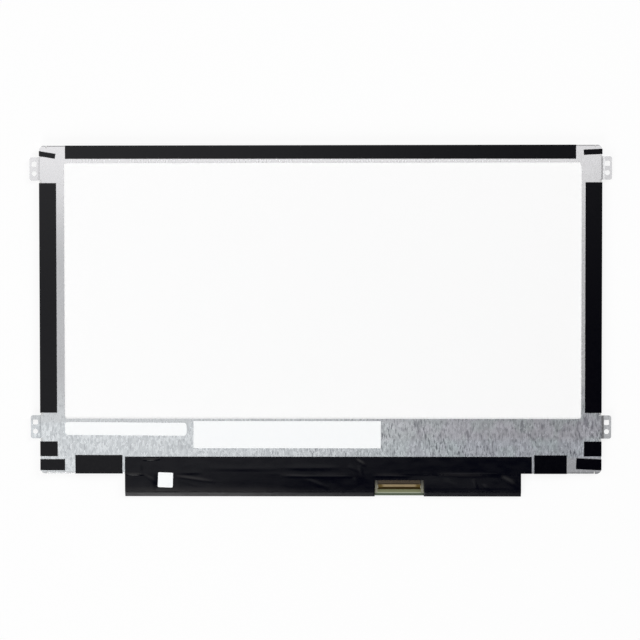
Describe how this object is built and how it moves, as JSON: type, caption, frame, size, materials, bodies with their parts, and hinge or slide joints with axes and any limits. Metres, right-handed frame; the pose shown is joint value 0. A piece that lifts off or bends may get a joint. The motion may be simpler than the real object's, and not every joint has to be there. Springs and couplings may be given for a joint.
{
  "type": "laptop screen panel",
  "caption": "Slim edge-lit laptop display module lying on its screen face, with a folded steel rear frame, screw ears, edge tapes and a film-covered control board with a cable socket.",
  "frame": {"origin": "below the middle of the whole outline, on the plane of the screen face", "axes": "+X along the long side, to the right when the back is seen with the board at the bottom; +Y towards the top edge; +Z out of the back"},
  "size_m": [0.2776, 0.1678, 0.003],
  "materials": {
    "galvanised_steel": "bright galvanised sheet with a faint spangle",
    "white_reflector": "pure white film, satin",
    "black_tape": "matte black adhesive tape",
    "black_film": "glossy black film, softly wrinkled",
    "label_paper": "blank white label stock",
    "green_board": "green solder mask",
    "gold_contact": "plated contact strip",
    "tan_socket": "moulded heat-proof plastic",
    "tinned_tab": "tinned sheet",
    "screen_glass": "clear thin glass",
    "dark_polariser": "dark film, anti-glare",
    "clear_guide": "clear plate with fine dots",
    "optical_film": "translucent film",
    "white_mould": "white moulding",
    "diode_white": "white package",
    "amber_flex": "amber flexible film",
    "black_chip": "black moulding",
    "dark_ferrite": "dark ferrite",
    "tan_ceramic": "tan ceramic"
  },
  "bodies": {
    "root": {"front_polariser": "dark_polariser", "colour_filter_glass": "screen_glass", "tft_glass": "screen_glass", "rear_polariser": "dark_polariser", "rim_tape": "black_tape", "upper_prism_sheet": "optical_film", "lower_prism_sheet": "optical_film", "diffuser_sheet": "optical_film", "light_guide": "clear_guide", "light_bar_leds": "diode_white", "light_bar_flex": "amber_flex", "reflector_sheet": "white_reflector", "mould_frame": "white_mould", "rear_frame": "galvanised_steel", "driver_films": "amber_flex", "driver_chips": "black_chip", "control_board": "green_board", "timing_chip": "black_chip", "power_chip": "black_chip", "backlight_chip": "black_chip", "coils": "dark_ferrite", "capacitors": "tan_ceramic", "resistors": "black_chip", "socket_housing": "tan_socket", "socket_contacts": "gold_contact", "socket_tabs": "tinned_tab", "board_film": "black_film", "square_sticker": "label_paper", "narrow_label": "label_paper", "wide_label": "label_paper", "top_tape": "black_tape", "left_tape": "black_tape", "right_tape": "black_tape", "upper_left_tape": "black_tape", "upper_right_tape": "black_tape", "lower_left_tape": "black_tape", "lower_right_tape": "black_tape", "lowest_left_tape": "black_tape", "lowest_right_tape": "black_tape", "bottom_left_tape": "black_tape", "bottom_right_tape": "black_tape"}
  },
  "joints": []
}
